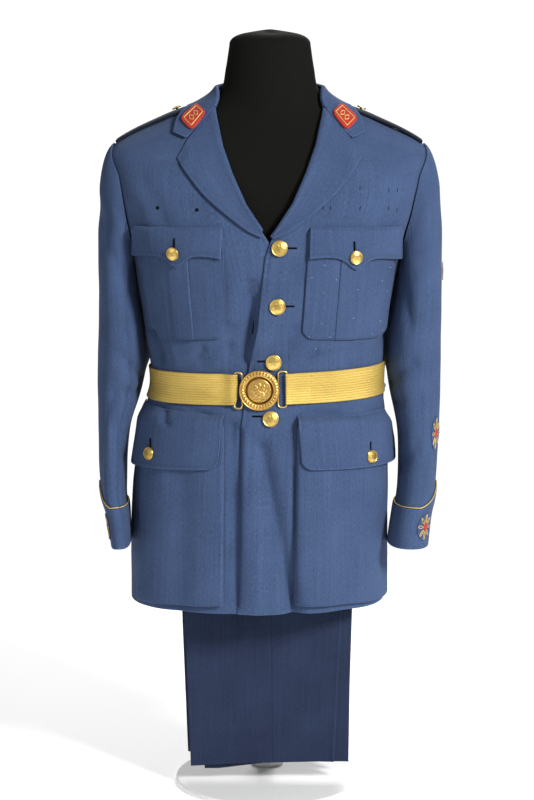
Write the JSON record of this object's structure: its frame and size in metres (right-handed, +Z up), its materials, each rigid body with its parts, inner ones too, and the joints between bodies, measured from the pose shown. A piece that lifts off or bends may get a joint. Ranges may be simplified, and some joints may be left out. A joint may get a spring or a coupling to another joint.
{
  "type": "air force officer's dress uniform on a limbless dress form",
  "caption": "Belted blue wool tunic with notched lapels and patch pockets on a black limbless form, over folded trousers hung from the form's bar.",
  "frame": {"origin": "middle of the base plate's underside", "axes": "+X to the wearer's left, -Y to the front, +Z up"},
  "size_m": [0.5037, 0.2814, 1.1174],
  "materials": {
    "tunic_wool": "napped wool barathea",
    "trouser_wool": "napped wool barathea",
    "gilt_brass": "gilt, worn",
    "gold_brocade": "woven metal lace",
    "red_felt": "felt",
    "bullion": "wire embroidery",
    "dark_brass": "blackened",
    "black_form": "black jersey",
    "white_lacquer": "satin lacquer"
  },
  "bodies": {
    "uniform": {"front_left": "tunic_wool", "back_left": "tunic_wool", "lapel_left": "tunic_wool", "chest_pocket_left": "tunic_wool", "chest_flap_left": "tunic_wool", "hip_pocket_left": "tunic_wool", "hip_flap_left": "tunic_wool", "sleeve_top_left": "tunic_wool", "sleeve_under_left": "tunic_wool", "cuff_left": "tunic_wool", "shoulder_strap_left": "tunic_wool", "piping_left": "gilt_brass", "collar_patch_left": "red_felt", "strap_button_left": "gilt_brass", "chest_button_left": "gilt_brass", "hip_button_left": "gilt_brass", "buckle_loop_left": "gilt_brass", "front_right": "tunic_wool", "back_right": "tunic_wool", "lapel_right": "tunic_wool", "chest_pocket_right": "tunic_wool", "chest_flap_right": "tunic_wool", "hip_pocket_right": "tunic_wool", "hip_flap_right": "tunic_wool", "sleeve_top_right": "tunic_wool", "sleeve_under_right": "tunic_wool", "cuff_right": "tunic_wool", "shoulder_strap_right": "tunic_wool", "piping_right": "gilt_brass", "collar_patch_right": "red_felt", "strap_button_right": "gilt_brass", "chest_button_right": "gilt_brass", "hip_button_right": "gilt_brass", "buckle_loop_right": "gilt_brass", "collar": "tunic_wool", "belt": "gold_brocade", "buckle": "gilt_brass", "front_button_1": "gilt_brass", "front_button_2": "gilt_brass", "front_button_3": "gilt_brass", "front_button_4": "gilt_brass", "badge_upper_arm": "bullion", "badge_forearm": "bullion", "badge_left_cuff": "bullion", "badge_right_cuff": "bullion", "sling_ring": "dark_brass", "dress_form": "black_form", "base_plate": "white_lacquer", "form_pole": "white_lacquer", "trouser_bar": "white_lacquer", "trouser_leg_front": "trouser_wool", "trouser_leg_back": "trouser_wool"},
    "sling_hook": {"hook_eye": "dark_brass", "sling_hook": "dark_brass"}
  },
  "joints": [
    {"name": "hook_swing", "type": "hinge", "parent": "uniform", "child": "sling_hook", "pos_m": [0.1692, 0.03204, 0.5928], "axis": [1, 0, 0], "range_deg": [-35, 40]}
  ]
}
